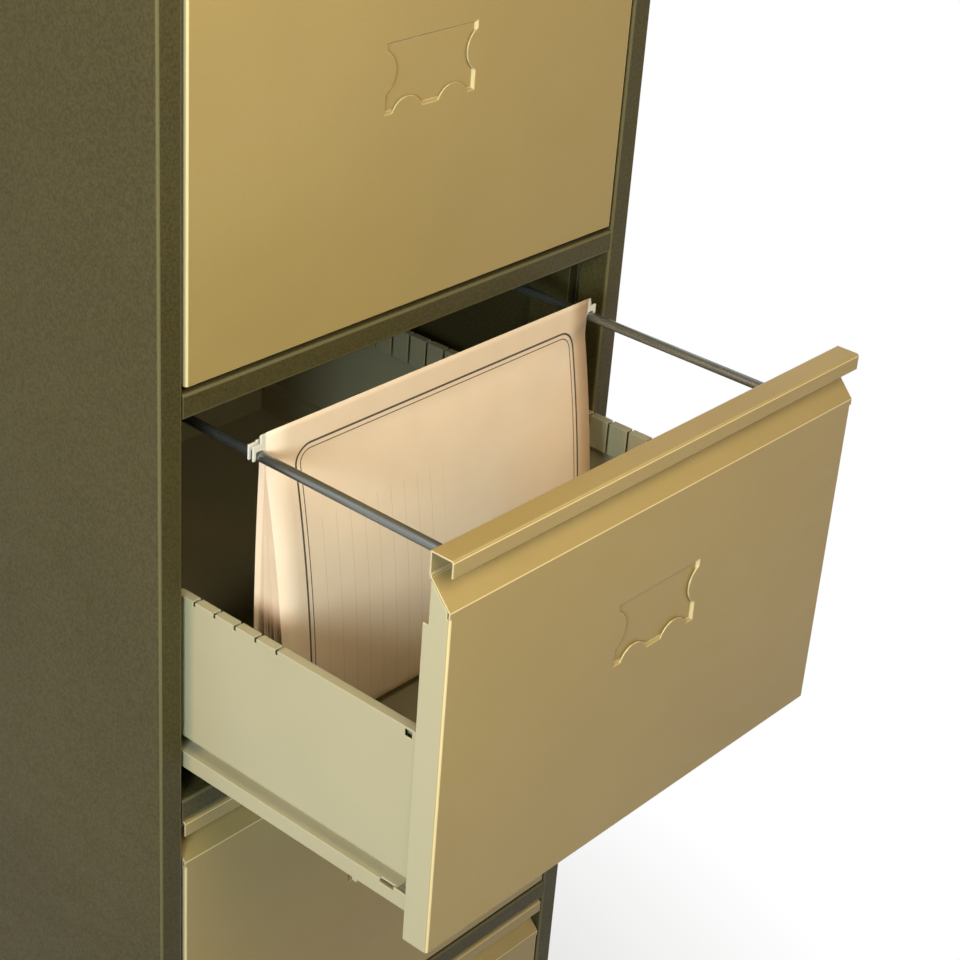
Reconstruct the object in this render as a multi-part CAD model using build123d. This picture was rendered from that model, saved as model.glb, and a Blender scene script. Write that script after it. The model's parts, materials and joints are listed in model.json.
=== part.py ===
from build123d import *
import os

# Four-drawer sheet-steel cabinet for cards and suspension files, in millimetres.
# Origin: centre of the footprint on the floor. +Z up, the drawers pull out along -Y.

# How far a cut passes beyond the sheet that it goes through
cut_margin = 1.0

# Cabinet
cabinet_width = 460.0
cabinet_depth = 620.0
drawer_count = 4
opening_height = 289.0
rail_height = 18.0
top_band = 32.0
plinth_height = 70.0
foot_height = 8.0
post_width = 20.0
post_return = 25.0
frame_sheet = 1.2
frame_bend = 1.5
rail_depth = 24.0
top_side_flange = 20.0
upright_width = 34.0
upright_height_off_side = 11.0
upright_lip = 8.0
upright_front_setback = 34.0
upright_rear_setback = 60.0

# Levelling feet
foot_pad_across_flats = 28.0
foot_pad_height = 7.0
foot_stem_radius = 4.0
foot_stem_height = 34.0
foot_inset = 34.0
bracket_size = 56.0
bracket_height = 24.0
bracket_sheet = 2.5

# Drawer front
front_side_gap = 2.2
front_bottom_gap = 4.1
front_sheet = 1.0
front_bend = 1.2
pan_depth = 20.0
pan_bottom_flange = 16.0
ridge_top_drop = 2.2
ridge_face_height = 11.4
ridge_depth = 17.6
ridge_rear_lip = 18.0
rod_plate_height = 43.0
rod_plate_inset = 18.3
face_top_drop = 36.6
chamfer_rise = 17.5
chamfer_run = 15.6
chamfer_flange = 2.0
return_step_drop = 51.0
return_narrow_depth = 15.6
return_corner_gap = 0.6

# Stamped label holder in each front
label_width = 85.0
label_height = 47.0
label_top_drop = 100.0
label_recess = 2.0
label_draft = 1.6
label_tab_length = 28.0
label_tab_reach = 9.0
label_tab_spacing = 43.0
label_side_tab_drop = 19.5

# Drawer tray
tray_sheet = 1.0
tray_top_drop = 130.0
tray_return_clearance = 1.2
tray_flange = 7.0
tray_lip = 26.0
tray_floor_clearance = 27.0
tray_well_depth = 23.0
tray_front_setback = 8.0
tray_back_setback = 575.0
slot_first = 141.0
slot_pitch = 19.0
slot_width = 2.2
slot_outer_drop = 3.5
slot_end_margin = 24.0
corner_slot_setback = 24.6
corner_slot_length = 6.2
corner_slot_height = 5.2
corner_slot_drop = 1.4

# Drawer back and hanging rods
back_sheet = 1.2
back_top_drop = 20.0
back_flange = 10.0
rod_radius = 3.5
rod_side_margin = 42.8
rod_drop = 31.4
rod_fit = 0.05
rod_front_setback = 13.0

# Telescopic slides: drawer member over intermediate member over cabinet rail
slide_clearance = 0.4
member_sheet = 1.2
member_below_joggle = 12.0
member_height = 12.4
member_outer_step = 0.8
member_front_setback = 20.4
member_top_setback = 29.5
member_rear_setback = 582.0
middle_sheet = 1.0
middle_length = 480.0
middle_setback = 60.0
rail_sheet = 1.5
rail_blade_width = 6.0
rail_foot_below_member = 4.6
rail_flange_rise = 22.0
rail_rear_setback = 594.0
lance_setback = 31.0
lance_length = 12.0
lance_height = 3.0
stop_tab_setback = 62.0
stop_tab_length = 4.0
stop_tab_drop = 2.2

# The second drawer from the top stands open
open_drawer = 2
open_distance = 222.5

# Suspension file on the rods of the open drawer
file_setback = 200.0
file_rod_gap = 0.5
file_top_drop = 16.0
file_floor_gap = 5.0
file_card = 0.8
file_top_thickness = 7.0
file_rear_drop = 5.0
file_straight = 29.0
file_belly = 17.0
file_belly_drop = 134.0
file_fold_reach = 24.0
file_fold_height = 15.5
file_rear_bulge = 2.0
file_front_steps = 10
file_fold_steps = 6
file_rear_steps = 4
file_bar_height = 13.5
file_bar_overhang = 3.4
file_bar_sheet = 1.2
file_bar_top_drop = 1.0
hook_overhang = 2.6
hook_lip = 6.0
hook_clearance = 0.3
hook_shoulder = 6.0
paper_side_margin = 6.0
paper_top_margin = 16.0
paper_clearance = 0.4

# Worked-out sizes
half_width = cabinet_width / 2
half_depth = cabinet_depth / 2
opening_half_width = half_width - post_width
drawer_pitch = opening_height + rail_height
base_top = foot_height + plinth_height
cabinet_height = base_top + drawer_count * drawer_pitch - rail_height + top_band
front_half_width = opening_half_width - front_side_gap
front_bottom_drop = opening_height - front_bottom_gap
chamfer_top_drop = face_top_drop - chamfer_rise
tray_half_width = front_half_width - front_sheet - tray_return_clearance
tray_floor_drop = opening_height - tray_floor_clearance
tray_joggle_drop = tray_floor_drop - tray_well_depth
rod_spacing = 2 * (front_half_width - rod_side_margin)
file_width = rod_spacing - 2 * (rod_radius + file_rod_gap)
file_height = tray_floor_drop - tray_sheet - file_floor_gap - file_top_drop
member_top_drop = tray_joggle_drop + member_below_joggle
member_outer_x = front_half_width - member_outer_step
middle_outer_x = member_outer_x - member_sheet - slide_clearance
rail_outer_x = middle_outer_x - middle_sheet - slide_clearance
rail_inner_x = rail_outer_x - rail_blade_width
middle_inner_x = rail_inner_x - slide_clearance - middle_sheet
member_inner_x = middle_inner_x - slide_clearance - member_sheet
member_bottom_drop = member_top_drop + member_height
rail_foot_drop = member_bottom_drop + rail_foot_below_member
middle_top_drop = member_top_drop + member_sheet + slide_clearance
rail_top_drop = middle_top_drop + middle_sheet + slide_clearance
upright_face_x = half_width - frame_sheet - upright_height_off_side


def at(y, z):
    """Move a piece built behind the cabinet's front plane to its place."""
    return Location((0, -half_depth + y, z))


def drawer_top(number):
    """Height of the top of a drawer's opening; drawer 1 is the uppermost."""
    return base_top + (drawer_count - number) * drawer_pitch + opening_height


def drawer_opened(number):
    return open_distance if number == open_drawer else 0.0


def place_drawer(piece, number, opened):
    return at(-opened, drawer_top(number)) * piece


def bent_sheet(path, thickness, inner_radius=0.0):
    """Face of a folded sheet: the path is one skin, the other lies to its left."""
    left = []
    radii = []
    left_radii = []
    for i, point in enumerate(path):
        here = Vector(*point)
        before = (here - Vector(*path[i - 1])).normalized() if i > 0 else None
        after = (Vector(*path[i + 1]) - here).normalized() if i < len(path) - 1 else None
        if before is None or after is None:
            run = after if before is None else before
            left.append(here + Vector(-run.Y, run.X) * thickness)
            continue
        turn = before.X * after.Y - before.Y * after.X
        bisector = (Vector(-before.Y, before.X) + Vector(-after.Y, after.X)).normalized()
        reach = thickness / bisector.dot(Vector(-before.Y, before.X))
        left.append(here + bisector * reach)
        radii.append(inner_radius + thickness if turn > 0 else inner_radius)
        left_radii.append(inner_radius if turn > 0 else inner_radius + thickness)
    if inner_radius == 0.0:
        return make_face(Polyline(*path, *left[::-1], close=True))
    first = FilletPolyline(*path, radius=radii)
    second = FilletPolyline(*left, radius=left_radii)
    ends = [Line(path[0], left[0]), Line(path[-1], left[-1])]
    return make_face(first.edges() + second.edges() + ends)


def along_x(face, x_low, x_high):
    """Extrude a section drawn as (y, z) from x_low to x_high."""
    return extrude(Plane.YZ.offset(x_low) * face, amount=x_high - x_low)


def along_y(face, y_low, y_high):
    """Extrude a section drawn as (x, z) from y_low to y_high."""
    return extrude(Plane.XZ.offset(-y_low) * face, amount=y_low - y_high)


def block(x_low, x_high, y_low, y_high, z_low, z_high):
    size = (x_high - x_low, y_high - y_low, z_high - z_low)
    return Pos(x_low, y_low, z_low) * Box(*size, align=(Align.MIN, Align.MIN, Align.MIN))


def both_sides(piece):
    return piece, mirror(piece, about=Plane.YZ)


def side_panel():
    """Right side: wall, front post with its return, and rear flange, from one sheet."""
    path = [
        (opening_half_width, -half_depth + post_return),
        (opening_half_width, -half_depth),
        (half_width, -half_depth),
        (half_width, half_depth),
        (opening_half_width, half_depth),
    ]
    wall = extrude(bent_sheet(path, frame_sheet, frame_bend), cabinet_height - frame_sheet - foot_height)
    return Pos(0, 0, foot_height) * wall


def back_panel():
    edge = half_width - frame_sheet - frame_bend
    y_rear = half_depth - frame_sheet
    path = [
        (-edge, y_rear - post_width),
        (-edge, y_rear),
        (edge, y_rear),
        (edge, y_rear - post_width),
    ]
    height = cabinet_height - frame_sheet - foot_height
    sheet = extrude(bent_sheet(path[::-1], frame_sheet), height)
    return Pos(0, 0, foot_height) * sheet


def top_panel():
    """Flat top with a folded front band between the posts and flanges inside the walls."""
    band_path = [
        (rail_depth, cabinet_height - top_band),
        (0, cabinet_height - top_band),
        (0, cabinet_height),
        (cabinet_depth, cabinet_height),
    ]
    inner = half_width - frame_sheet
    section = bent_sheet(band_path[::-1], frame_sheet, frame_bend)
    band = along_x(section, -opening_half_width, opening_half_width)
    strip = block(opening_half_width, half_width, 0, cabinet_depth,
                  cabinet_height - frame_sheet, cabinet_height)
    flange = block(
        inner - frame_sheet, inner, post_return + frame_bend, cabinet_depth - post_width - 2 * frame_bend,
        cabinet_height - top_side_flange, cabinet_height - frame_sheet,
    )
    return at(0, 0) * (band + list(both_sides(strip)) + list(both_sides(flange)))


def cross_rail(z_low, z_high):
    """Folded rail between the posts, open to the rear."""
    path = [(rail_depth, z_low), (0, z_low), (0, z_high), (rail_depth, z_high)]
    section = bent_sheet(path[::-1], frame_sheet, frame_bend)
    return at(0, 0) * along_x(section, -opening_half_width, opening_half_width)


def rear_plinth():
    y_rear = cabinet_depth - post_width - 2 * frame_sheet - frame_bend
    path = [
        (y_rear, foot_height),
        (y_rear, base_top),
        (y_rear - rail_depth, base_top),
    ]
    inner = half_width - 2 * frame_sheet - frame_bend
    return at(0, 0) * along_x(bent_sheet(path, frame_sheet), -inner, inner)


def bottom_panel():
    """Shelf under the lowest drawer, with its edges turned up inside the side walls."""
    inner = half_width - frame_sheet
    path = [
        (-inner, base_top + top_side_flange),
        (-inner, base_top),
        (inner, base_top),
        (inner, base_top + top_side_flange),
    ]
    face = bent_sheet(path, frame_sheet)
    return at(0, 0) * along_y(face, post_return + frame_bend, cabinet_depth - post_width - 3 * frame_bend)


def upright(y_low):
    """Hat-section strip on the inside of a wall that carries the slide rails."""
    wall = half_width - frame_sheet
    web = upright_face_x + frame_sheet
    middle = y_low + upright_width / 2
    half = upright_width / 2
    path = [
        (wall, middle - half - upright_lip),
        (wall, middle - half),
        (web, middle - half),
        (web, middle + half),
        (wall, middle + half),
        (wall, middle + half + upright_lip),
    ]
    face = bent_sheet(path, frame_sheet)
    low = base_top + top_side_flange + frame_sheet
    high = cabinet_height - top_side_flange - frame_sheet
    return at(0, low) * extrude(face, high - low)


def feet_and_brackets():
    """Screw feet at the four corners, each in a bracket fixed to the side wall."""
    feet = []
    brackets = []
    inner = half_width - frame_sheet
    for side in (-1, 1):
        for end in (-1, 1):
            x = side * (half_width - foot_inset)
            y = end * (half_depth - foot_inset - post_width)
            pad = Pos(x, y, 0) * extrude(
                RegularPolygon(foot_pad_across_flats / 2, 6, major_radius=False), foot_pad_height)
            stem = Pos(x, y, foot_pad_height) * Cylinder(
                foot_stem_radius, foot_stem_height, align=(Align.CENTER, Align.CENTER, Align.MIN))
            feet.append(pad + stem)
            x_near = inner - bracket_size
            x_low, x_high = (x_near, inner) if side > 0 else (-inner, -x_near)
            shelf = block(x_low, x_high, y - bracket_size / 2, y + bracket_size / 2,
                          bracket_height, bracket_height + bracket_sheet)
            wall_x = inner - bracket_sheet if side > 0 else -inner
            wall = block(wall_x, wall_x + bracket_sheet, y - bracket_size / 2, y + bracket_size / 2,
                         bracket_height, base_top - 2 * bracket_sheet)
            hole = Pos(x, y, bracket_height + bracket_sheet / 2) * Cylinder(
                foot_stem_radius, 2 * bracket_sheet)
            brackets.append(shelf + wall - hole)
    return feet, brackets


def label_frame(margin):
    centre_drop = label_top_drop + label_height / 2
    return Pos(0, -centre_drop) * Rectangle(label_width + 2 * margin, label_height + 2 * margin)


def label_well(margin, y_front, y_rear):
    """Block with drafted sides that fills the stamped recess, larger by a margin all round."""
    mouth = Plane.XZ.offset(-y_front) * label_frame(margin)
    floor = Plane.XZ.offset(-y_rear) * label_frame(margin - label_draft)
    return loft([mouth, floor])


def label_recess_outline():
    """Opening of the label holder: a rectangle less the four tabs that hold the card."""
    half_tab = label_tab_length / 2
    bump = make_face([
        Line((-half_tab, 0), (half_tab, 0)),
        ThreePointArc((-half_tab, 0), (0, label_tab_reach), (half_tab, 0)),
    ])
    low = -(label_top_drop + label_height)
    level = -(label_top_drop + label_side_tab_drop)
    tabs = [
        Pos(-label_tab_spacing / 2, low) * bump,
        Pos(label_tab_spacing / 2, low) * bump,
        Pos(-label_width / 2, level) * Rot(0, 0, -90) * bump,
        Pos(label_width / 2, level) * Rot(0, 0, 90) * bump,
    ]
    return label_frame(0) - tabs


def front_pan():
    """Drawer front: face, chamfer, pull ridge, side returns and the stamped label holder."""
    corner = front_bend + front_sheet
    plan = [
        (front_half_width, pan_depth),
        (front_half_width, 0),
        (-front_half_width, 0),
        (-front_half_width, pan_depth),
    ]
    face_top = -face_top_drop - 2 * corner
    face = extrude(bent_sheet(plan[::-1], front_sheet, front_bend), face_top + front_bottom_drop)
    face = Pos(0, 0, -front_bottom_drop) * face
    face_inner = front_half_width - corner
    band = -front_bottom_drop + 2 * corner
    face -= block(-face_inner, face_inner, -cut_margin, corner, -front_bottom_drop - cut_margin, band)
    bottom = [(0, band), (0, -front_bottom_drop), (pan_bottom_flange, -front_bottom_drop)]
    flange = along_x(bent_sheet(bottom, front_sheet), -face_inner, face_inner)
    upper = [(0, face_top), (0, -face_top_drop), (chamfer_run, -chamfer_top_drop)]
    chamfer = along_x(bent_sheet(upper[::-1], front_sheet, front_bend), -front_half_width, front_half_width)
    chamfer += block(-front_half_width, front_half_width, chamfer_run, chamfer_run + front_sheet,
                     -chamfer_top_drop - front_sheet, -chamfer_top_drop + chamfer_flange)
    ridge = [
        (0, -ridge_top_drop - ridge_face_height),
        (0, -ridge_top_drop),
        (ridge_depth, -ridge_top_drop),
    ]
    lip = along_x(bent_sheet(ridge[::-1], front_sheet, front_bend), -front_half_width, front_half_width)
    lip += block(-front_half_width, front_half_width, ridge_depth - front_sheet, ridge_depth,
                 -ridge_top_drop - ridge_rear_lip, -ridge_top_drop)
    inner = front_half_width - rod_plate_inset
    rod_plate = block(-inner, inner, ridge_depth - front_sheet, ridge_depth,
                      -ridge_top_drop - rod_plate_height, -ridge_top_drop - front_sheet)
    slope = chamfer_rise / chamfer_run
    seam = (front_sheet + return_corner_gap) * (1 + slope ** 2) ** 0.5
    cheek = make_face(Polyline(
        (corner, face_top - corner),
        (return_narrow_depth, face_top - corner),
        (return_narrow_depth, -face_top_drop + slope * return_narrow_depth - seam),
        (corner, -face_top_drop + slope * corner - seam),
        close=True,
    ))
    cheeks = along_x(cheek, front_half_width - front_sheet, front_half_width)
    step = block(0, front_half_width + cut_margin, return_narrow_depth, pan_depth + cut_margin,
                 -return_step_drop, 0)
    pan = face - list(both_sides(step)) + flange + chamfer + lip + rod_plate + list(both_sides(cheeks))
    recess = extrude(Plane.XZ * label_recess_outline(), amount=-front_sheet)
    well = label_well(0, 0, label_recess)
    wall = label_well(front_sheet, 0, label_recess + front_sheet)
    rods = [rod_hole(x, ridge_depth) for x in (-rod_spacing / 2, rod_spacing / 2)]
    return pan - recess + (wall - well) - rods


def rod_hole(x, y):
    """Cutter for a rod's hole in the ridge's rear lip, which has its rear skin at y."""
    length = 2 * (front_sheet + cut_margin)
    return Pos(x, y, -rod_drop) * Rot(90, 0, 0) * Cylinder(rod_radius + rod_fit, length)


def tray():
    """Folded tray: slotted top flanges, sides joggled in above the slides, floor and front wall."""
    outer = tray_half_width
    inset = member_inner_x
    half = [
        (outer - tray_flange, -tray_top_drop - tray_lip),
        (outer - tray_flange, -tray_top_drop),
        (outer, -tray_top_drop),
        (outer, -tray_joggle_drop),
        (inset, -tray_joggle_drop),
        (inset, -tray_floor_drop),
    ]
    path = half + [(-x, z) for x, z in half[::-1]]
    face = bent_sheet(path[::-1], tray_sheet)
    shell = along_y(face, front_sheet, tray_back_setback)
    wall_edge = inset - 2 * tray_sheet
    wall_rear = tray_front_setback + tray_sheet
    wall = block(-outer + tray_sheet, outer - tray_sheet, tray_front_setback, wall_rear,
                 -tray_joggle_drop + tray_sheet, -tray_top_drop - tray_lip)
    wall = wall + block(-wall_edge, wall_edge, tray_front_setback, wall_rear,
                        -tray_floor_drop + tray_sheet, -tray_joggle_drop + tray_sheet)
    slot = make_face(Polyline(
        (outer + cut_margin, -tray_top_drop + cut_margin),
        (outer + cut_margin, -tray_top_drop - slot_outer_drop),
        (outer - tray_flange + tray_sheet + cut_margin, -tray_top_drop - slot_outer_drop),
        (outer - tray_flange + tray_sheet + cut_margin, -tray_top_drop - tray_lip - cut_margin),
        (outer - tray_flange - cut_margin, -tray_top_drop - tray_lip - cut_margin),
        (outer - tray_flange - cut_margin, -tray_top_drop + cut_margin),
        close=True,
    ))
    cuts = []
    count = int((tray_back_setback - slot_end_margin - slot_first) / slot_pitch) + 1
    for i in range(count):
        y = slot_first + i * slot_pitch
        cuts.append(along_y(slot, y - slot_width / 2, y + slot_width / 2))
    cuts.append(block(
        outer - tray_sheet - cut_margin, outer + cut_margin,
        corner_slot_setback, corner_slot_setback + corner_slot_length,
        -tray_top_drop - corner_slot_drop - corner_slot_height, -tray_top_drop - corner_slot_drop))
    mirrored = [mirror(cut, about=Plane.YZ) for cut in cuts]
    return shell + wall - (cuts + mirrored)


def drawer_back():
    """Back of the drawer, carried up so that the rear ends of the rods are welded to it."""
    path = [
        (tray_back_setback - back_flange, -back_top_drop),
        (tray_back_setback + back_sheet, -back_top_drop),
        (tray_back_setback + back_sheet, -tray_floor_drop),
    ]
    half = tray_half_width
    plate = along_x(bent_sheet(path[::-1], back_sheet), -half, half)
    notch = block(member_inner_x, half + cut_margin, 0, tray_back_setback + back_sheet + cut_margin,
                  -tray_floor_drop - cut_margin, -tray_joggle_drop)
    return plate - list(both_sides(notch))


def hanging_rods():
    length = tray_back_setback - rod_front_setback
    rods = []
    for side in (-1, 1):
        rod = Pos(side * rod_spacing / 2, rod_front_setback, -rod_drop) * Rot(-90, 0, 0) * Cylinder(
            rod_radius, length, align=(Align.CENTER, Align.CENTER, Align.MIN))
        rods.append(rod)
    return rods


def drawer_member():
    """Right slide member on the drawer: a downward-open channel with a lanced slot and a stop tab."""
    path = [
        (member_inner_x, -member_bottom_drop),
        (member_inner_x, -member_top_drop),
        (member_outer_x, -member_top_drop),
        (member_outer_x, -member_bottom_drop),
    ]
    channel = along_y(bent_sheet(path[::-1], member_sheet), member_front_setback, member_rear_setback)
    top_cut = block(member_inner_x, member_outer_x - member_sheet, member_front_setback, member_top_setback,
                    -member_top_drop - member_sheet, -member_top_drop + cut_margin)
    leg_x = member_outer_x - member_sheet
    lance = block(leg_x - cut_margin, member_outer_x + cut_margin,
                  lance_setback, lance_setback + lance_length,
                  -member_top_drop - lance_height, -member_top_drop + cut_margin)
    tab = block(leg_x, member_outer_x, stop_tab_setback, stop_tab_setback + stop_tab_length,
                -member_bottom_drop - stop_tab_drop, -member_bottom_drop)
    return channel - top_cut - lance + tab


def middle_member():
    """Right intermediate slide member, nested in the drawer member."""
    low = member_bottom_drop - slide_clearance
    path = [
        (middle_inner_x, -low),
        (middle_inner_x, -middle_top_drop),
        (middle_outer_x, -middle_top_drop),
        (middle_outer_x, -low),
    ]
    face = bent_sheet(path[::-1], middle_sheet)
    return along_y(face, middle_setback, middle_setback + middle_length)


def cabinet_rail():
    """Right slide rail in the cabinet: a blade under the intermediate member and a foot to the uprights."""
    path = [
        (rail_inner_x, -member_bottom_drop),
        (rail_inner_x, -rail_top_drop),
        (rail_outer_x, -rail_top_drop),
        (rail_outer_x, -rail_foot_drop),
        (upright_face_x - rail_sheet, -rail_foot_drop),
        (upright_face_x - rail_sheet, -rail_foot_drop + rail_flange_rise),
    ]
    face = bent_sheet(path[::-1], rail_sheet)
    return along_y(face, post_return + 2 * frame_bend, rail_rear_setback)


def file_bars():
    """Two hanger bars with a hook over each rod, the rear one as much lower as the rear cover."""
    bars = []
    front_top = -file_top_drop - file_bar_top_drop
    bar_low = front_top - file_bar_height
    hook_low = -rod_drop + rod_radius + hook_clearance
    bar_end = file_width / 2 + file_bar_overhang
    end = rod_spacing / 2 + rod_radius + hook_overhang
    lip_inner = rod_spacing / 2 + rod_radius + hook_clearance
    shoulder = front_top - hook_shoulder
    front_y = file_setback + file_card
    rear_y = file_setback + file_top_thickness - file_card - file_bar_sheet
    for y, top in ((front_y, front_top), (rear_y, front_top - file_rear_drop)):
        y_rear = y + file_bar_sheet
        bar = block(-bar_end, bar_end, y, y_rear, bar_low, top)
        arm = block(-end, end, y, y_rear, hook_low, shoulder)
        lip = block(lip_inner, end, y, y_rear, hook_low - hook_lip, shoulder)
        seat = Pos(rod_spacing / 2, y, -rod_drop) * Rot(90, 0, 0) * Cylinder(
            rod_radius + hook_clearance, 2 * (file_bar_sheet + cut_margin))
        bars.append(bar + arm + list(both_sides(lip)) - list(both_sides(seat)))
    return bars


def along_arc(start, through, end, steps):
    """Points of an arc after its start, for a path drawn with straight runs."""
    arc = ThreePointArc(start, through, end)
    points = [arc @ (step / steps) for step in range(1, steps + 1)]
    return [(point.X, point.Y) for point in points]


def file_outline(inset, front_top_drop, rear_top_drop):
    """Side of the bulging file, inset by a margin: down the front, round the fold, up the rear."""
    front = file_setback + inset
    rear = file_setback + file_top_thickness - inset
    waist = -file_top_drop - file_straight
    belly = -file_top_drop - file_belly_drop
    low = -file_top_drop - file_height + inset
    fold = low + file_fold_height
    fold_front = front - file_fold_reach
    path = [(front, -front_top_drop), (front, waist)]
    path += along_arc((front, waist), (front - file_belly, belly), (fold_front, fold), file_front_steps)
    path += along_arc((fold_front, fold), ((fold_front + rear) / 2, low), (rear, fold), file_fold_steps)
    path += along_arc((rear, fold), (rear + file_rear_bulge, belly), (rear, waist), file_rear_steps)
    return path + [(rear, -rear_top_drop)]


def file_jacket():
    """Folded card jacket, open at the top, hanging from the bars."""
    outline = file_outline(0, file_top_drop, file_top_drop + file_rear_drop)
    face = bent_sheet(outline, file_card)
    return along_x(face, -file_width / 2 + hook_clearance, file_width / 2 - hook_clearance)


def file_papers():
    """Block of sheets that fills the jacket below the bars."""
    top_drop = file_top_drop + paper_top_margin
    outline = file_outline(file_card + paper_clearance, top_drop, top_drop)
    half = file_width / 2 - paper_side_margin
    return along_x(make_face(Polyline(*outline, close=True)), -half, half)


nodes = {}
right_wall, left_wall = both_sides(side_panel())
nodes["side_panel_right"] = right_wall
nodes["side_panel_left"] = left_wall
nodes["back_panel"] = back_panel()
nodes["top_panel"] = top_panel()
nodes["front_plinth"] = cross_rail(foot_height, base_top)
nodes["rear_plinth"] = rear_plinth()
nodes["bottom_panel"] = bottom_panel()
for number in range(1, drawer_count):
    rail_top = drawer_top(number) - opening_height
    nodes[f"rail_below_drawer_{number}"] = cross_rail(rail_top - rail_height, rail_top)
front_right, front_left = both_sides(upright(upright_front_setback + upright_lip))
rear_y = cabinet_depth - upright_rear_setback - upright_width
rear_right, rear_left = both_sides(upright(rear_y))
nodes["slide_upright_front_right"] = front_right
nodes["slide_upright_front_left"] = front_left
nodes["slide_upright_rear_right"] = rear_right
nodes["slide_upright_rear_left"] = rear_left
feet, brackets = feet_and_brackets()
nodes["levelling_feet"] = feet
nodes["foot_brackets"] = brackets

for number in range(1, drawer_count + 1):
    opened = drawer_opened(number)
    drawer_pieces = {
        "front": front_pan(),
        "tray": tray(),
        "back": drawer_back(),
        "hanging_rods": hanging_rods(),
    }
    for side, piece in zip(("right", "left"), both_sides(drawer_member())):
        drawer_pieces[f"slide_{side}"] = piece
    for name, piece in drawer_pieces.items():
        if isinstance(piece, list):
            nodes[f"drawer_{number}_{name}"] = [place_drawer(p, number, opened) for p in piece]
        else:
            nodes[f"drawer_{number}_{name}"] = place_drawer(piece, number, opened)
    for side, piece in zip(("right", "left"), both_sides(middle_member())):
        nodes[f"middle_slide_{number}_{side}"] = place_drawer(piece, number, opened / 2)
    for side, piece in zip(("right", "left"), both_sides(cabinet_rail())):
        nodes[f"cabinet_slide_{number}_{side}"] = place_drawer(piece, number, 0)

nodes["file_hanger_bars"] = [place_drawer(p, open_drawer, open_distance) for p in file_bars()]
nodes["file_jacket"] = place_drawer(file_jacket(), open_drawer, open_distance)
nodes["file_papers"] = place_drawer(file_papers(), open_drawer, open_distance)

os.makedirs("parts", exist_ok=True)
for name, piece in nodes.items():
    shape = Compound(children=piece) if isinstance(piece, list) else piece
    export_step(shape, f"parts/{name}.step")
print(len(nodes), "nodes, cabinet height", cabinet_height)
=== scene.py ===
import json
import math
import random

import bmesh
import bpy
from mathutils import Matrix, Vector


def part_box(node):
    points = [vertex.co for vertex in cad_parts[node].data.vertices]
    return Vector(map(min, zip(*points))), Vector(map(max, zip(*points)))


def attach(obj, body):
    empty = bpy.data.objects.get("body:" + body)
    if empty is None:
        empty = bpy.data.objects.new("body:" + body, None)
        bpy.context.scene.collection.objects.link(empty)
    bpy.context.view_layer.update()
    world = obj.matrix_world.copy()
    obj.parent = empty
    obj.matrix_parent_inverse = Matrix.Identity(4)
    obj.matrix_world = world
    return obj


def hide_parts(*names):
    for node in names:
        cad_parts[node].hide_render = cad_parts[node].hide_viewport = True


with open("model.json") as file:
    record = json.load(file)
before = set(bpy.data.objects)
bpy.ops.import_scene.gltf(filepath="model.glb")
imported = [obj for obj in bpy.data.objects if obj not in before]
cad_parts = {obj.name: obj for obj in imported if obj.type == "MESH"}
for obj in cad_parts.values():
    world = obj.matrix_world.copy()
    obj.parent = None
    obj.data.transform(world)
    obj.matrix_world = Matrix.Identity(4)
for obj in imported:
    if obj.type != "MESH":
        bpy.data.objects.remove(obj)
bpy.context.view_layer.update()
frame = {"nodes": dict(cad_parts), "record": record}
scene = bpy.context.scene
nodes = frame["nodes"]
MM = 0.001

# Camera, worked out from the photographed edges
CAMERA_PLACE = Vector((-0.98894, -1.19037, 1.58591))
CAMERA_HEADING = math.radians(50.51)
CAMERA_PITCH = math.radians(28.48)
CAMERA_ROLL = math.radians(4.38)
CAMERA_LENS = 80.13
CAMERA_SENSOR = 36.0
CAMERA_FAR = 100.0

# Finishes, as linear colours
FRAME_OLIVE = (0.086, 0.075, 0.031)
FRAME_OLIVE_DARK = (0.053, 0.046, 0.020)
FRONT_GOLD = (0.412, 0.318, 0.137)
FRONT_GOLD_DARK = (0.380, 0.292, 0.125)
BODY_BEIGE = (0.460, 0.440, 0.310)
BODY_BEIGE_DARK = (0.425, 0.405, 0.282)
ZINC = (0.260, 0.280, 0.280)
ZINC_DARK = (0.120, 0.130, 0.128)
CARD = (0.900, 0.760, 0.640)
CARD_DARK = (0.850, 0.700, 0.575)
PAPER = (0.780, 0.640, 0.500)
PAPER_DARK = (0.700, 0.560, 0.430)
INK = (0.030, 0.025, 0.020)
RULE_INK = (0.350, 0.270, 0.200)
# Bend colours: painted highlights along edges and bends, standing in for lamp light caught by the rounded
# folds
FRAME_BEND_HIGHLIGHT = (0.170, 0.155, 0.085)
FRONT_BEND_HIGHLIGHT = (0.900, 0.760, 0.480)
BODY_BEND_HIGHLIGHT = (0.620, 0.570, 0.400)
GALVANISED = (0.420, 0.420, 0.400)
GALVANISED_DARK = (0.280, 0.280, 0.270)
FILE_WHITE = (0.800, 0.800, 0.770)
FILE_WHITE_DARK = (0.720, 0.720, 0.700)
# Painted highlight along the edges and bends of the file's bars
FILE_WHITE_BEND_HIGHLIGHT = (0.840, 0.840, 0.820)
PLASTIC = (0.020, 0.020, 0.020)
PLASTIC_DUSTY = (0.045, 0.045, 0.043)
FLOOR_GREY = (0.400, 0.400, 0.390)
WHITE = (1.0, 1.0, 1.0)

# Sheet steel: the softened edges, and the ranges over which the masks rise from 0 to 1. The edge and bend
# masks lay a painted highlight along edges and bends, at the share below
EDGE_RADIUS = 1.0 * MM
EDGE_RANGE = (0.99, 0.93)
BEND_RANGE = (0.10, 0.25)
SIDE_RANGE = (0.90, 0.98)
BEND_HIGHLIGHT_SHARE = 0.75
DRAWN_ALONG_Y = (1, 0.05, 1)

# How far unit normals reach along an axis on flat faces, and upward on the chamfers of the fronts
FLAT_LEVELS = (0.0, 1.0)
CHAMFER_LEVEL = 0.665

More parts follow.
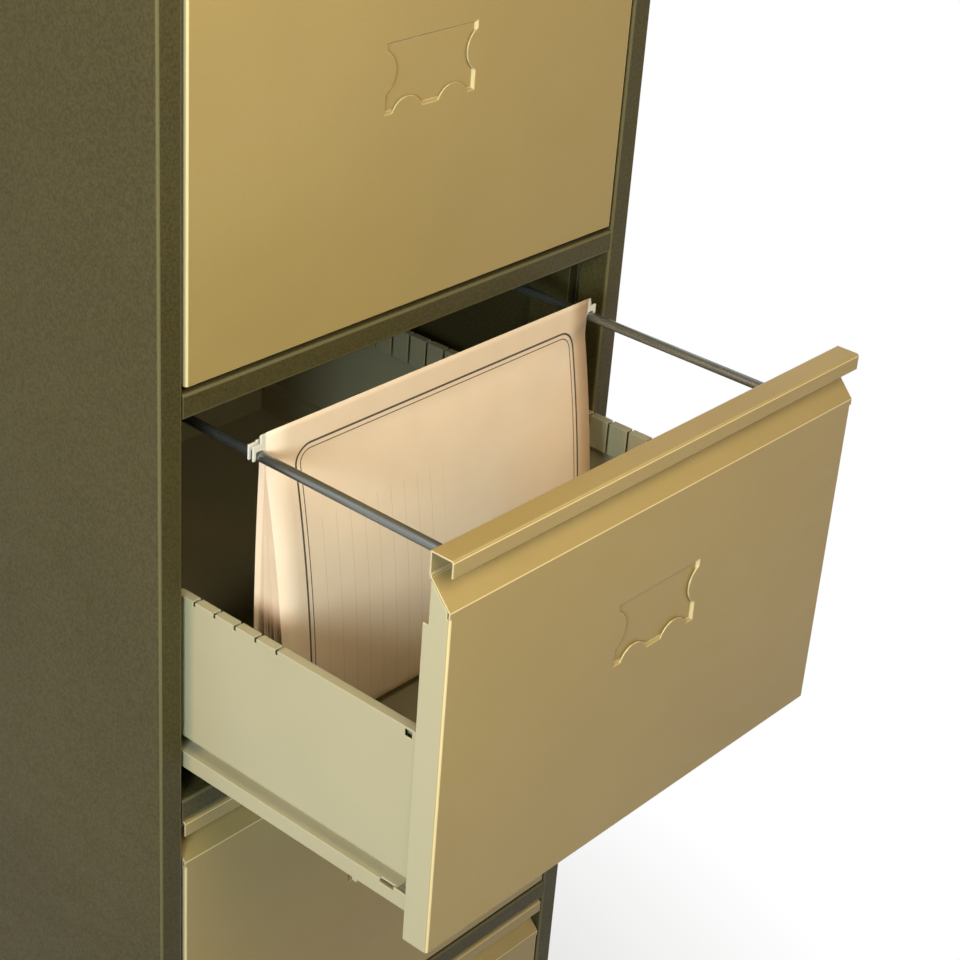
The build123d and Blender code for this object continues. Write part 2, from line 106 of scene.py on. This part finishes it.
# Suspension file, in the box of the jacket's node
jacket_low, jacket_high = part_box("file_jacket")
COVER_SHEET = 0.5 * MM
COVER_REAR_DROP = 5.0 * MM
COVER_STRAIGHT = 29.0 * MM
COVER_TOP_THICKNESS = 7.0 * MM
COVER_BELLY = 17.0 * MM
COVER_BELLY_DROP = 134.0 * MM
COVER_FOLD_REACH = 24.0 * MM
COVER_FOLD_HEIGHT = 15.5 * MM
COVER_REAR_BULGE = 2.0 * MM
LEAF_COUNT = 14
LEAF_SHEET = 0.25 * MM
LEAF_MARGIN = 2.5 * MM
LEAF_INSET = 2.6 * MM
LEAF_SHIFT = 1.5 * MM
LEAF_STARTS = (0.015, 0.06)
LEAF_ENDS = (0.90, 0.95)
LEAF_SEED = 4
ARC_STEPS = 24
COVER_STEPS = (16, 110)
LEAF_STEPS = (4, 24)
BORDER_LEFT_MARGIN = 26.0 * MM
BORDER_RIGHT_MARGIN = 15.0 * MM
BORDER_TOP_MARGIN = 20.0 * MM
BORDER_CORNER = 14.0 * MM
BORDER_THICK_LINE = 1.6 * MM
BORDER_THIN_LINE = 0.8 * MM
BORDER_LINE_GAP = 4.0 * MM
RULE_SPACING = 13.0 * MM
RULE_WIDTH = 0.5 * MM
RULE_START = 75.0 * MM
RULE_STRENGTH = 0.28
BORDER_STRENGTH = 0.95

# Floor: half its width, and the distances from its middle between which the shadow fades to white
FLOOR_REACH = 30.0
SHADOW_INNER = 0.45
SHADOW_OUTER = 0.80
NEAR_WHITENESS = 0.72

# Lamps: name, place, target, diameter, level at the target and colour
LAMP_TARGET = (0.0, -0.40, 0.95)
LAMPS = (
    ("key", (-0.35, -1.1, 1.7), LAMP_TARGET, 0.7, 7.2, (1.0, 0.84, 0.52)),
    ("left", (-1.9, -1.25, 1.50), LAMP_TARGET, 0.7, 7.2, (0.86, 1.0, 0.96)),
    ("side_left", (-2.142, -0.022, 1.964), LAMP_TARGET, 0.7, 4.2, (1.0, 0.68, 0.44)),
    ("warm_right", (1.7, -2.4, 1.9), LAMP_TARGET, 0.7, 1.3, (1.0, 0.48, 0.10)),
    ("rear", (1.5, 2.3, 1.9), (0.0, 0.1, 0.7), 1.2, 6.0, (1.0, 0.96, 0.88)),
)
SKY_COLOUR = (0.95, 0.97, 1.0)
SKY_STRENGTH = 0.02


def new_material(name):
    """A material with its Principled shader, its node tree and object coordinates."""
    material = bpy.data.materials.new(name)
    material.use_nodes = True
    tree = material.node_tree
    shader = tree.nodes["Principled BSDF"]
    coords = tree.nodes.new("ShaderNodeTexCoord").outputs["Object"]
    return material, tree, shader, coords


def noise(tree, vector, scale, detail=2.0, stretch=(1, 1, 1)):
    mapping = tree.nodes.new("ShaderNodeMapping")
    mapping.inputs["Scale"].default_value = stretch
    tree.links.new(vector, mapping.inputs["Vector"])
    texture = tree.nodes.new("ShaderNodeTexNoise")
    texture.inputs["Scale"].default_value = scale
    texture.inputs["Detail"].default_value = detail
    tree.links.new(mapping.outputs["Vector"], texture.inputs["Vector"])
    return texture.outputs["Fac"]


def remap(tree, value, from_low, from_high, to_low=0.0, to_high=1.0):
    node = tree.nodes.new("ShaderNodeMapRange")
    node.inputs["From Min"].default_value = from_low
    node.inputs["From Max"].default_value = from_high
    node.inputs["To Min"].default_value = to_low
    node.inputs["To Max"].default_value = to_high
    tree.links.new(value, node.inputs["Value"])
    return node.outputs["Result"]


def mix_colour(tree, factor, first, second):
    node = tree.nodes.new("ShaderNodeMix")
    node.data_type = "RGBA"
    tree.links.new(factor, node.inputs["Factor"])
    for socket, colour in ((node.inputs[6], first), (node.inputs[7], second)):
        if isinstance(colour, tuple):
            socket.default_value = (*colour, 1.0)
        else:
            tree.links.new(colour, socket)
    return node.outputs[2]


def math_node(tree, operation, first, second=0.0):
    node = tree.nodes.new("ShaderNodeMath")
    node.operation = operation
    for socket, value in zip(node.inputs, (first, second)):
        if isinstance(value, (int, float)):
            socket.default_value = value
        else:
            tree.links.new(value, socket)
    return node.outputs[0]


def rounded_edges(tree, radius):
    """Normal with softened edges, and a mask that is 1 on sharp edges."""
    bevel = tree.nodes.new("ShaderNodeBevel")
    bevel.samples = 6
    bevel.inputs["Radius"].default_value = radius
    geometry = tree.nodes.new("ShaderNodeNewGeometry")
    dot = tree.nodes.new("ShaderNodeVectorMath")
    dot.operation = "DOT_PRODUCT"
    tree.links.new(bevel.outputs["Normal"], dot.inputs[0])
    tree.links.new(geometry.outputs["Normal"], dot.inputs[1])
    return bevel.outputs["Normal"], remap(tree, dot.outputs["Value"], *EDGE_RANGE)


def nearest(tree, value, levels):
    """Distance from a value's size to the nearest of some levels."""
    size = math_node(tree, "ABSOLUTE", value)
    gaps = [math_node(tree, "ABSOLUTE", math_node(tree, "SUBTRACT", size, level)) for level in levels]
    least = gaps[0]
    for gap in gaps[1:]:
        least = math_node(tree, "MINIMUM", least, gap)
    return least


def bend_mask(tree, facing, levels):
    """1 on the round bends of a sheet whose flat faces' normals rise to these levels."""
    upright = nearest(tree, facing.outputs[2], levels)
    sideways = nearest(tree, facing.outputs[0], FLAT_LEVELS)
    return remap(tree, math_node(tree, "MAXIMUM", upright, sideways), *BEND_RANGE)


def bump(tree, height, strength, distance, normal=None):
    node = tree.nodes.new("ShaderNodeBump")
    node.inputs["Strength"].default_value = strength
    node.inputs["Distance"].default_value = distance
    tree.links.new(height, node.inputs["Height"])
    if normal is not None:
        tree.links.new(normal, node.inputs["Normal"])
    return node.outputs["Normal"]


def painted_steel(name, colour, dark, bend_highlight, speckle, roughness, side_colour=None, gloss=0.25,
                  levels=FLAT_LEVELS):
    """Stoved satin paint: broad tone changes, a fine speckle, orange peel, and a painted highlight along
    edges and bends.

    Faces turned to the left or right may have a colour of their own. The levels are how far the
    normals of the sheet's flat faces rise.
    """
    material, tree, shader, coords = new_material(name)
    broad = remap(tree, noise(tree, coords, scale=7.0, detail=3.0), 0.35, 0.65)
    fine = remap(tree, noise(tree, coords, scale=520.0), 0.35, 0.65, 0.0, speckle)
    tone = math_node(tree, "ADD", math_node(tree, "MULTIPLY", broad, 1.0 - speckle), fine)
    normal, edges = rounded_edges(tree, EDGE_RADIUS)
    paint = mix_colour(tree, tone, colour, dark)
    facing = tree.nodes.new("ShaderNodeSeparateXYZ")
    tree.links.new(tree.nodes.new("ShaderNodeNewGeometry").outputs["Normal"], facing.inputs[0])
    if side_colour is not None:
        sideways = remap(tree, math_node(tree, "ABSOLUTE", facing.outputs[0]), *SIDE_RANGE)
        paint = mix_colour(tree, sideways, paint, side_colour)
    # Painted highlight: edges and bends are mixed towards a pale colour that stands in for lamp light caught
    # by the folds
    folds = math_node(tree, "MAXIMUM", edges, bend_mask(tree, facing, levels))
    painted_highlight = math_node(tree, "MULTIPLY", folds, BEND_HIGHLIGHT_SHARE)
    tree.links.new(mix_colour(tree, painted_highlight, paint, bend_highlight), shader.inputs["Base Color"])
    smears = noise(tree, coords, scale=22.0, detail=3.0, stretch=(1, 1, 3))
    sheen = remap(tree, smears, 0.3, 0.7, roughness - 0.05, roughness + 0.06)
    tree.links.new(sheen, shader.inputs["Roughness"])
    peel = noise(tree, coords, scale=700.0, detail=1.0)
    tree.links.new(bump(tree, peel, 0.25, 0.15 * MM, normal), shader.inputs["Normal"])
    shader.inputs["Metallic"].default_value = 0.0
    shader.inputs["Specular IOR Level"].default_value = gloss
    return material


def drawn_steel(name, colour, dark, roughness):
    """Zinc-plated or galvanised steel with marks drawn out from front to back."""
    material, tree, shader, coords = new_material(name)
    marks = noise(tree, coords, scale=260.0, detail=3.0, stretch=DRAWN_ALONG_Y)
    streaks = remap(tree, marks, 0.3, 0.7)
    blooms = remap(tree, noise(tree, coords, scale=45.0, detail=4.0), 0.4, 0.65, 0.0, 0.5)
    tone = math_node(tree, "MAXIMUM", math_node(tree, "MULTIPLY", streaks, 0.8), blooms)
    tree.links.new(mix_colour(tree, tone, colour, dark), shader.inputs["Base Color"])
    sheen = remap(tree, streaks, 0.0, 1.0, roughness - 0.06, roughness + 0.08)
    tree.links.new(sheen, shader.inputs["Roughness"])
    tree.links.new(bump(tree, streaks, 0.2, 0.08 * MM), shader.inputs["Normal"])
    shader.inputs["Metallic"].default_value = 0.85
    return material


def foot_plastic(name):
    """Black moulded plastic with a fine grain."""
    material, tree, shader, coords = new_material(name)
    grain = noise(tree, coords, scale=900.0)
    tree.links.new(mix_colour(tree, grain, PLASTIC, PLASTIC_DUSTY), shader.inputs["Base Color"])
    tree.links.new(bump(tree, grain, 0.3, 0.1 * MM), shader.inputs["Normal"])
    shader.inputs["Roughness"].default_value = 0.6
    return material


def fibres(tree, coords, colour, dark):
    """Base colour and bump of uncoated card or paper."""
    mottle = remap(tree, noise(tree, coords, scale=30.0, detail=4.0), 0.35, 0.65)
    grain = noise(tree, coords, scale=1100.0, detail=3.0, stretch=(1, 1, 0.35))
    tone = math_node(tree, "MULTIPLY", math_node(tree, "ADD", mottle, grain), 0.5)
    return mix_colour(tree, tone, colour, dark), bump(tree, grain, 0.25, 0.08 * MM)


def line_mask(tree, distance, centre, width):
    """1 where a distance lies within a line's width of its centre."""
    off = math_node(tree, "ABSOLUTE", math_node(tree, "SUBTRACT", distance, centre))
    return math_node(tree, "LESS_THAN", off, width / 2)


def printed_card(name):
    """Manila card with a double rounded border and faint ruled lines, by UV in metres on the cover."""
    material, tree, shader, coords = new_material(name)
    base, normal = fibres(tree, coords, CARD, CARD_DARK)
    uv = tree.nodes.new("ShaderNodeUVMap")
    uv.uv_map = "cover"
    split = tree.nodes.new("ShaderNodeSeparateXYZ")
    tree.links.new(uv.outputs["UV"], split.inputs[0])
    across, down = split.outputs[0], split.outputs[1]
    half_width = (jacket_high.x - jacket_low.x - BORDER_LEFT_MARGIN - BORDER_RIGHT_MARGIN) / 2
    height = jacket_high.z - jacket_low.z
    centred = math_node(tree, "SUBTRACT", across, (BORDER_LEFT_MARGIN - BORDER_RIGHT_MARGIN) / 2)
    aside = math_node(tree, "ABSOLUTE", centred)
    side = math_node(tree, "MAXIMUM", math_node(tree, "SUBTRACT", aside, half_width - BORDER_CORNER), 0.0)
    top = math_node(tree, "SUBTRACT", BORDER_TOP_MARGIN + BORDER_CORNER, down)
    low = math_node(tree, "SUBTRACT", down, height - BORDER_CORNER)
    rise = math_node(tree, "MAXIMUM", math_node(tree, "MAXIMUM", top, low), 0.0)
    side_square = math_node(tree, "POWER", side, 2.0)
    rise_square = math_node(tree, "POWER", rise, 2.0)
    outside = math_node(tree, "SQRT", math_node(tree, "ADD", side_square, rise_square))
    thick = line_mask(tree, outside, BORDER_CORNER, BORDER_THICK_LINE)
    thin = line_mask(tree, outside, BORDER_CORNER - BORDER_LINE_GAP, BORDER_THIN_LINE)
    border = math_node(tree, "MAXIMUM", thick, thin)
    # Ruled lines run down the cover and stay inside the border, low in its left half
    wave = math_node(tree, "PINGPONG", across, RULE_SPACING / 2)
    rule = math_node(tree, "LESS_THAN", wave, RULE_WIDTH / 2)
    inside = math_node(tree, "LESS_THAN", outside, BORDER_CORNER - 2 * BORDER_LINE_GAP)
    left_half = math_node(tree, "LESS_THAN", across, 0.0)
    lower = math_node(tree, "GREATER_THAN", down, RULE_START)
    area = math_node(tree, "MULTIPLY", inside, math_node(tree, "MULTIPLY", left_half, lower))
    rule = math_node(tree, "MULTIPLY", rule, area)
    ruled = mix_colour(tree, math_node(tree, "MULTIPLY", rule, RULE_STRENGTH), base, RULE_INK)
    printed = mix_colour(tree, math_node(tree, "MULTIPLY", border, BORDER_STRENGTH), ruled, INK)
    tree.links.new(printed, shader.inputs["Base Color"])
    tree.links.new(normal, shader.inputs["Normal"])
    shader.inputs["Roughness"].default_value = 0.75
    return material


def plain_paper(name, colour, dark):
    """Uncoated paper without print."""
    material, tree, shader, coords = new_material(name)
    base, normal = fibres(tree, coords, colour, dark)
    tree.links.new(base, shader.inputs["Base Color"])
    tree.links.new(normal, shader.inputs["Normal"])
    shader.inputs["Roughness"].default_value = 0.8
    return material


def seen_rays(tree):
    """1 where a surface is seen directly, in a reflection or through something clear."""
    path = tree.nodes.new("ShaderNodeLightPath")
    seen = math_node(tree, "MAXIMUM", path.outputs["Is Camera Ray"], path.outputs["Is Glossy Ray"])
    return math_node(tree, "MAXIMUM", seen, path.outputs["Is Transmission Ray"])


def white_floor(name):
    """Pale floor that camera and reflections see as white, with the object's shadow kept near its foot."""
    material, tree, shader, coords = new_material(name)
    shader.inputs["Base Color"].default_value = (*FLOOR_GREY, 1.0)
    shader.inputs["Roughness"].default_value = 0.9
    glow = tree.nodes.new("ShaderNodeEmission")
    glow.inputs["Color"].default_value = (*WHITE, 1.0)
    seen = seen_rays(tree)
    away = tree.nodes.new("ShaderNodeVectorMath")
    away.operation = "LENGTH"
    tree.links.new(coords, away.inputs[0])
    whiteness = remap(tree, away.outputs["Value"], SHADOW_INNER, SHADOW_OUTER, NEAR_WHITENESS, 1.0)
    blend = tree.nodes.new("ShaderNodeMixShader")
    tree.links.new(math_node(tree, "MULTIPLY", seen, whiteness), blend.inputs["Fac"])
    tree.links.new(shader.outputs["BSDF"], blend.inputs[1])
    tree.links.new(glow.outputs["Emission"], blend.inputs[2])
    tree.links.new(blend.outputs["Shader"], tree.nodes["Material Output"].inputs["Surface"])
    return material


def paint_nodes():
    """Gives every CAD node the finish of its material slot."""
    finishes = {
        "frame_paint": painted_steel(
            "frame_paint", FRAME_OLIVE, FRAME_OLIVE_DARK, FRAME_BEND_HIGHLIGHT, speckle=0.8, roughness=0.45,
            gloss=0.12),
        "front_paint": painted_steel(
            "front_paint", FRONT_GOLD, FRONT_GOLD_DARK, FRONT_BEND_HIGHLIGHT, speckle=0.25, roughness=0.36,
            side_colour=BODY_BEIGE, levels=(0.0, CHAMFER_LEVEL, 1.0)),
        "body_paint": painted_steel(
            "body_paint", BODY_BEIGE, BODY_BEIGE_DARK, BODY_BEND_HIGHLIGHT, speckle=0.25, roughness=0.40),
        "rod_zinc": drawn_steel("rod_zinc", ZINC, ZINC_DARK, roughness=0.26),
        "bare_steel": drawn_steel("bare_steel", GALVANISED, GALVANISED_DARK, roughness=0.42),
        "foot_plastic": foot_plastic("foot_plastic"),
        "file_metal": painted_steel(
            "file_metal", FILE_WHITE, FILE_WHITE_DARK, FILE_WHITE_BEND_HIGHLIGHT, speckle=0.3, roughness=0.40),
        "file_card": printed_card("file_card"),
        "file_paper": plain_paper("file_paper", PAPER, PAPER_DARK),
    }
    for part in frame["record"]["subparts"]:
        mesh = nodes[part["node"]].data
        mesh.materials.clear()
        mesh.materials.append(finishes[part["material_slot"]])
    return finishes


def sheet_grid(name, place, steps, uv_of=None):
    """Grid mesh whose vertex at (u, v), each 0 to 1, is place(u, v)."""
    across_steps, down_steps = steps
    mesh = bpy.data.meshes.new(name)
    bm = bmesh.new()
    rows = []
    for j in range(down_steps + 1):
        rows.append([bm.verts.new(place(i / across_steps, j / down_steps)) for i in range(across_steps + 1)])
    layer = bm.loops.layers.uv.new("cover") if uv_of else None
    for j in range(down_steps):
        for i in range(across_steps):
            face = bm.faces.new((rows[j][i], rows[j + 1][i], rows[j + 1][i + 1], rows[j][i + 1]))
            face.smooth = True
            if layer:
                corners = ((i, j), (i, j + 1), (i + 1, j + 1), (i + 1, j))
                for loop, (a, b) in zip(face.loops, corners):
                    loop[layer].uv = uv_of(a / across_steps, b / down_steps)
    bm.to_mesh(mesh)
    bm.free()
    piece = bpy.data.objects.new(name, mesh)
    scene.collection.objects.link(piece)
    return piece


def thicken(piece, thickness):
    """Gives a sheet its thickness, half on each side."""
    solid = piece.modifiers.new("thickness", "SOLIDIFY")
    solid.thickness = thickness
    solid.offset = 0.0


def turn_between(first, second):
    """Angle by which the first vector turns into the second, anticlockwise."""
    return math.atan2(first.x * second.y - first.y * second.x, first.dot(second))


def arc_run(start, through, end, steps):
    """Points of the arc through three points, after its start."""
    (ax, ay), (bx, by), (cx, cy) = start, through, end
    twice = 2 * (ax * (by - cy) + bx * (cy - ay) + cx * (ay - by))
    a, b, c = ax * ax + ay * ay, bx * bx + by * by, cx * cx + cy * cy
    centre = Vector(((a * (by - cy) + b * (cy - ay) + c * (ay - by)) / twice,
                     (a * (cx - bx) + b * (ax - cx) + c * (bx - ax)) / twice))
    first = Vector(start) - centre
    middle = Vector(through) - centre
    last = Vector(end) - centre
    whole = turn_between(first, middle) + turn_between(middle, last)
    turned = [Matrix.Rotation(whole * step / steps, 2) @ first + centre for step in range(1, steps + 1)]
    return [(point.x, point.y) for point in turned]


def cover_side(inset):
    """Side outline of the bulging file, as (y, z): down the front, round the fold, up the rear."""
    front = jacket_low.y + COVER_FOLD_REACH + inset
    rear = jacket_low.y + COVER_FOLD_REACH + COVER_TOP_THICKNESS - inset
    top = jacket_high.z
    waist = top - COVER_STRAIGHT
    belly = top - COVER_BELLY_DROP
    low = jacket_low.z + inset
    fold = low + COVER_FOLD_HEIGHT
    fold_front = front - COVER_FOLD_REACH
    path = [(front, top), (front, waist)]
    path += arc_run((front, waist), (front - COVER_BELLY, belly), (fold_front, fold), ARC_STEPS)
    path += arc_run((fold_front, fold), ((fold_front + rear) / 2, low), (rear, fold), ARC_STEPS)
    path += arc_run((rear, fold), (rear + COVER_REAR_BULGE, belly), (rear, waist), ARC_STEPS)
    return path + [(rear, top - COVER_REAR_DROP)]


def lengths_along(path):
    """Length run from the start of a path to each of its points."""
    total = 0.0
    lengths = [0.0]
    for before, after in zip(path, path[1:]):
        total += math.dist(before, after)
        lengths.append(total)
    return lengths


def point_along(path, lengths, run):
    """Point of a path at a length run from its start."""
    for i in range(1, len(path)):
        if run <= lengths[i] or i == len(path) - 1:
            share = (run - lengths[i - 1]) / (lengths[i] - lengths[i - 1])
            return Vector(path[i - 1]).lerp(Vector(path[i]), min(share, 1.0))


def file_cover(finishes, width, centre_x):
    """Folded card cover, bulging to the front, in the space of the CAD jacket."""
    side = cover_side(COVER_SHEET)
    lengths = lengths_along(side)
    length = lengths[-1]

    def cover(u, v):
        point = point_along(side, lengths, v * length)
        return (centre_x + (u - 0.5) * width, point.x, point.y)

    jacket = sheet_grid("file_cover", cover, COVER_STEPS, lambda u, v: ((u - 0.5) * width, v * length))
    thicken(jacket, COVER_SHEET)
    jacket.data.materials.append(finishes["file_card"])
    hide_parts("file_jacket")
    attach(jacket, "suspension_file")


def file_leaves(finishes, width, centre_x):
    """Loose sheets, fanned out between the cover's front and rear."""
    generator = random.Random(LEAF_SEED)
    inner = cover_side(LEAF_INSET)
    half = len(inner) // 2
    front_side = inner[:half]
    rear_side = inner[:half - 1:-1]
    front_lengths = lengths_along(front_side)
    rear_lengths = lengths_along(rear_side)
    leaf_width = width - 2 * LEAF_MARGIN
    for number in range(LEAF_COUNT):
        share = number / (LEAF_COUNT - 1)
        shift = generator.uniform(-LEAF_SHIFT, LEAF_SHIFT)
        start = generator.uniform(*LEAF_STARTS)
        finish = generator.uniform(*LEAF_ENDS)

        def leaf(u, v, share=share, shift=shift, start=start, finish=finish):
            run = start + v * (finish - start)
            front = point_along(front_side, front_lengths, run * front_lengths[-1])
            rear = point_along(rear_side, rear_lengths, run * rear_lengths[-1])
            point = front.lerp(rear, share)
            return (centre_x + (u - 0.5) * leaf_width + shift, point.x, point.y)

        piece = sheet_grid(f"file_leaf_{number}", leaf, LEAF_STEPS)
        thicken(piece, LEAF_SHEET)
        piece.data.materials.append(finishes["file_paper"])
        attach(piece, "suspension_file")
    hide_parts("file_papers")


def suspension_file(finishes):
    """Card cover with its loose sheets; the hooked bars stay as CAD pieces."""
    width = jacket_high.x - jacket_low.x - COVER_SHEET
    centre_x = (jacket_high.x + jacket_low.x) / 2
    file_cover(finishes, width, centre_x)
    file_leaves(finishes, width, centre_x)


def floor():
    """Large flat floor under the feet."""
    mesh = bpy.data.meshes.new("floor")
    signs = ((-1, -1), (1, -1), (1, 1), (-1, 1))
    corners = [(x * FLOOR_REACH, y * FLOOR_REACH, 0) for x, y in signs]
    mesh.from_pydata(corners, [], [(0, 1, 2, 3)])
    piece = bpy.data.objects.new("floor", mesh)
    scene.collection.objects.link(piece)
    mesh.materials.append(white_floor("floor_white"))


def area_light(name, place, target, size, level, colour):
    """Round soft light whose level at the target doesn't change with its distance."""
    lamp = bpy.data.lights.new(name, "AREA")
    lamp.shape = "DISK"
    lamp.size = size
    aim = Vector(target) - Vector(place)
    lamp.energy = level * aim.length_squared
    lamp.color = colour
    light = bpy.data.objects.new(name, lamp)
    light.location = place
    light.rotation_euler = aim.to_track_quat("-Z", "Y").to_euler()
    scene.collection.objects.link(light)


def lighting():
    """Soft lamps and a faint sky, which is white where it is seen."""
    for lamp in LAMPS:
        area_light(*lamp)
    world = bpy.data.worlds.new("studio")
    world.use_nodes = True
    tree = world.node_tree
    dim = tree.nodes["Background"]
    dim.inputs["Color"].default_value = (*SKY_COLOUR, 1.0)
    dim.inputs["Strength"].default_value = SKY_STRENGTH
    white = tree.nodes.new("ShaderNodeBackground")
    white.inputs["Color"].default_value = (*WHITE, 1.0)
    white.inputs["Strength"].default_value = 1.0
    blend = tree.nodes.new("ShaderNodeMixShader")
    tree.links.new(seen_rays(tree), blend.inputs["Fac"])
    tree.links.new(dim.outputs["Background"], blend.inputs[1])
    tree.links.new(white.outputs["Background"], blend.inputs[2])
    tree.links.new(blend.outputs["Shader"], tree.nodes["World Output"].inputs["Surface"])
    scene.world = world


def camera():
    """Camera at the photograph's viewing angle, with its slight roll."""
    ahead = Vector((
        math.sin(CAMERA_HEADING) * math.cos(CAMERA_PITCH),
        math.cos(CAMERA_HEADING) * math.cos(CAMERA_PITCH),
        -math.sin(CAMERA_PITCH),
    ))
    level_right = Vector((math.cos(CAMERA_HEADING), -math.sin(CAMERA_HEADING), 0.0))
    level_up = level_right.cross(ahead)
    right = level_right * math.cos(CAMERA_ROLL) + level_up * math.sin(CAMERA_ROLL)
    up = level_up * math.cos(CAMERA_ROLL) - level_right * math.sin(CAMERA_ROLL)
    data = bpy.data.cameras.new("camera")
    data.lens = CAMERA_LENS
    data.sensor_width = CAMERA_SENSOR
    data.clip_end = CAMERA_FAR
    eye = bpy.data.objects.new("camera", data)
    turn = Matrix((right, up, -ahead)).transposed().to_4x4()
    eye.matrix_world = Matrix.Translation(CAMERA_PLACE) @ turn
    scene.collection.objects.link(eye)
    scene.camera = eye


suspension_file(paint_nodes())
floor()
lighting()
camera()
scene.view_settings.view_transform = "Standard"
